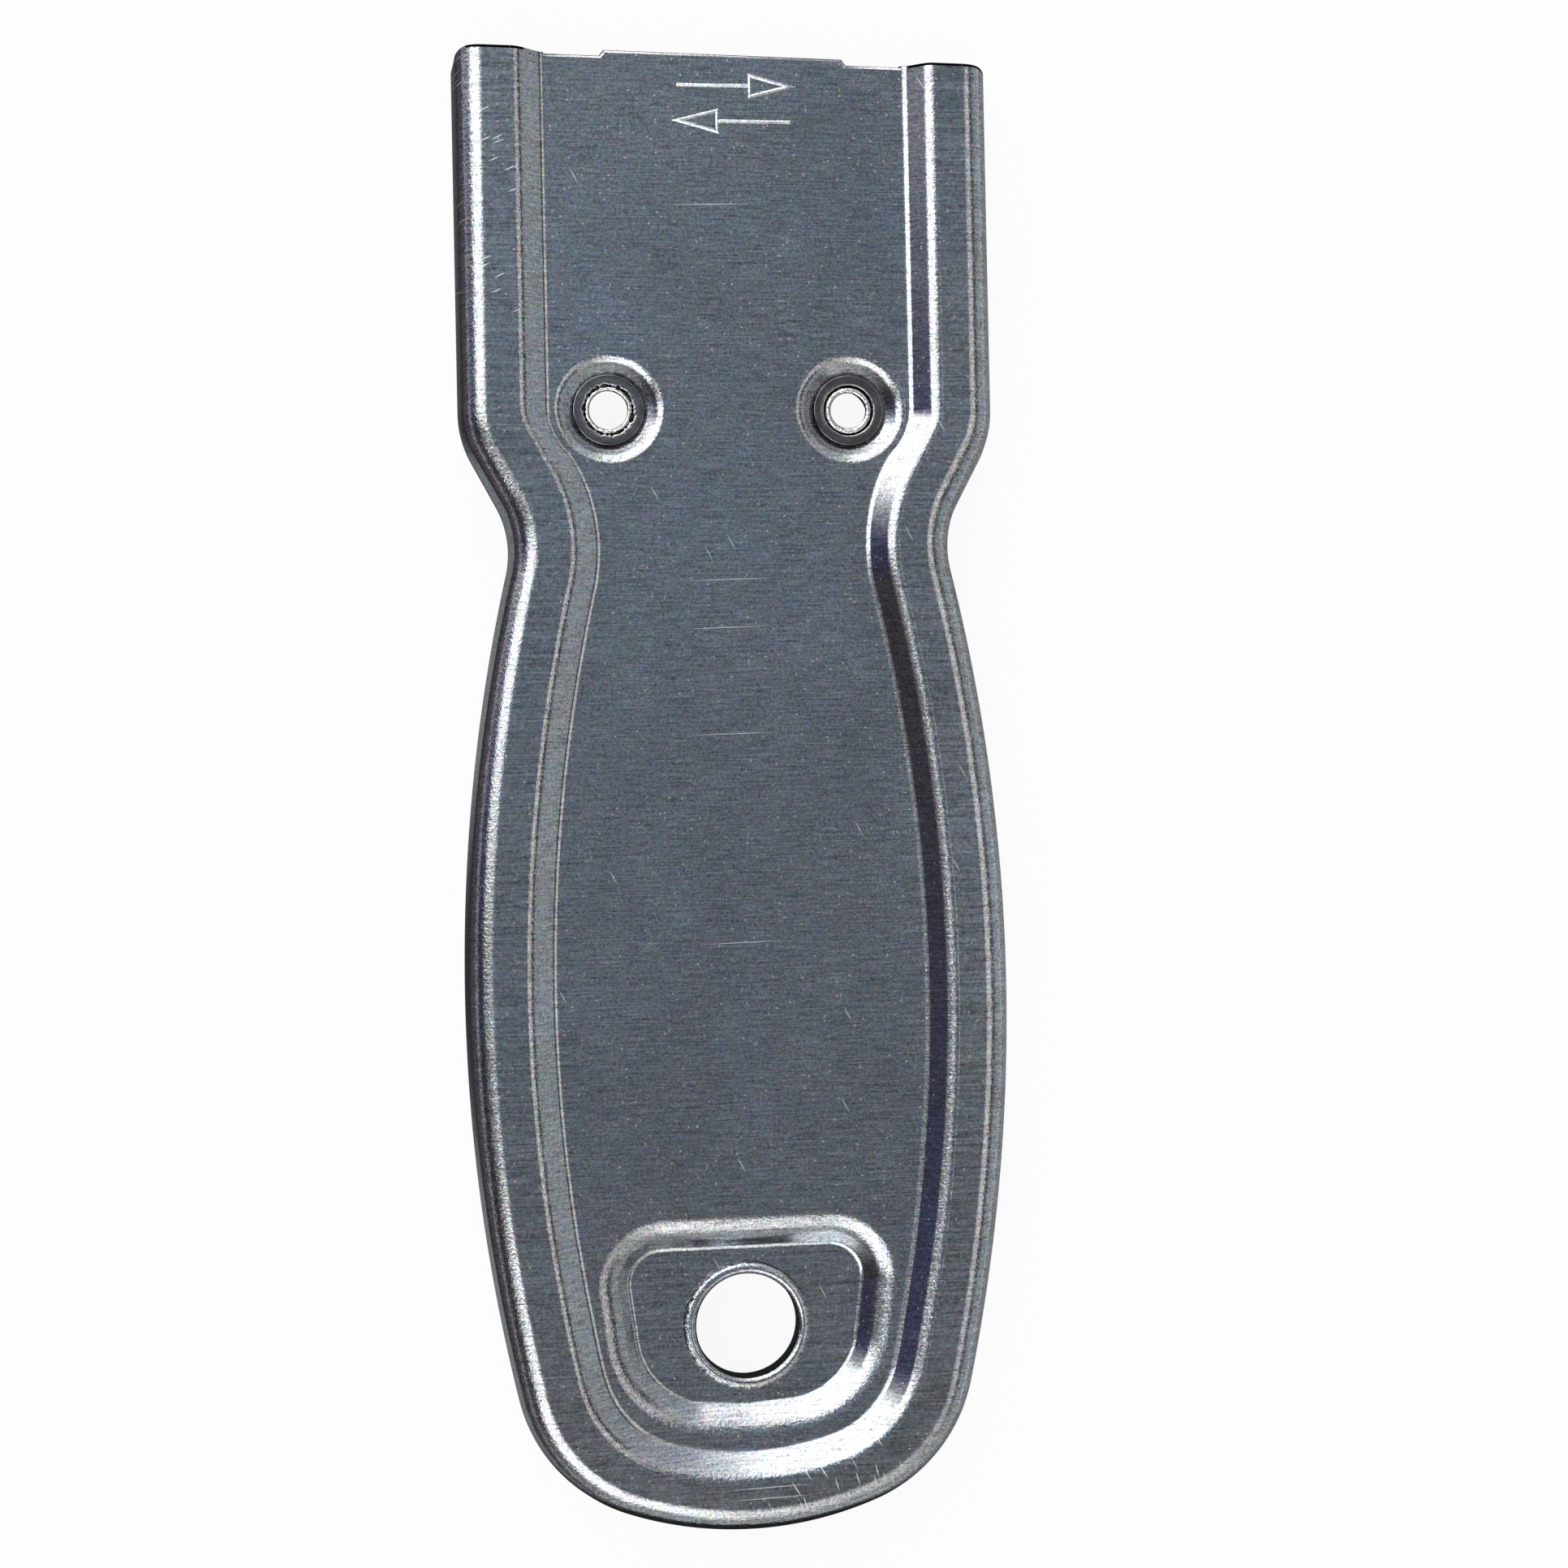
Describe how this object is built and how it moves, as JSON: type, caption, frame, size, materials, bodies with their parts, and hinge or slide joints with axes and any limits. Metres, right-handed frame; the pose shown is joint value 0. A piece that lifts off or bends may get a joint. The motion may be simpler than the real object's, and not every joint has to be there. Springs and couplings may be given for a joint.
{
  "type": "razor scraper",
  "caption": "All-metal retractable razor scraper: stamped steel handle with a sliding blade carriage, thumb button, eyelets and a hang hole.",
  "frame": {"origin": "centre of the footprint, on the plane that the back face lies on", "axes": "+X across the tool, +Y along it towards the blade end, +Z out of the front face"},
  "size_m": [0.042, 0.1134, 0.0074],
  "materials": {
    "plated_steel": "bright zinc-plated stamped sheet, fine rolled grain",
    "eyelet_metal": "bright plated, rolled",
    "carriage_steel": "plain cold-rolled sheet",
    "blade_steel": "polished, ground edge",
    "spring_steel": "blued, tempered",
    "button_nylon": "moulded, fine texture"
  },
  "bodies": {
    "handle": {"front_shell": "plated_steel", "back_shell": "plated_steel", "left_eyelet": "eyelet_metal", "right_eyelet": "eyelet_metal"},
    "carriage": {"blade_carriage": "carriage_steel", "blade_spine": "carriage_steel", "razor_blade": "blade_steel", "lock_spring": "spring_steel", "spring_rivet": "eyelet_metal"},
    "button": {"thumb_button": "button_nylon"}
  },
  "joints": [
    {"name": "carriage_slide", "type": "slide", "parent": "handle", "child": "carriage", "axis": [0, 1, 0], "range_m": [0, 0.021], "deforming": ["lock_spring"]},
    {"name": "button_press", "type": "slide", "parent": "carriage", "child": "button", "axis": [0, 0, 1], "range_m": [0, 0.001], "stiffness_N_per_m": 1500, "springref_m": -0.001, "deforming": ["lock_spring"]}
  ]
}
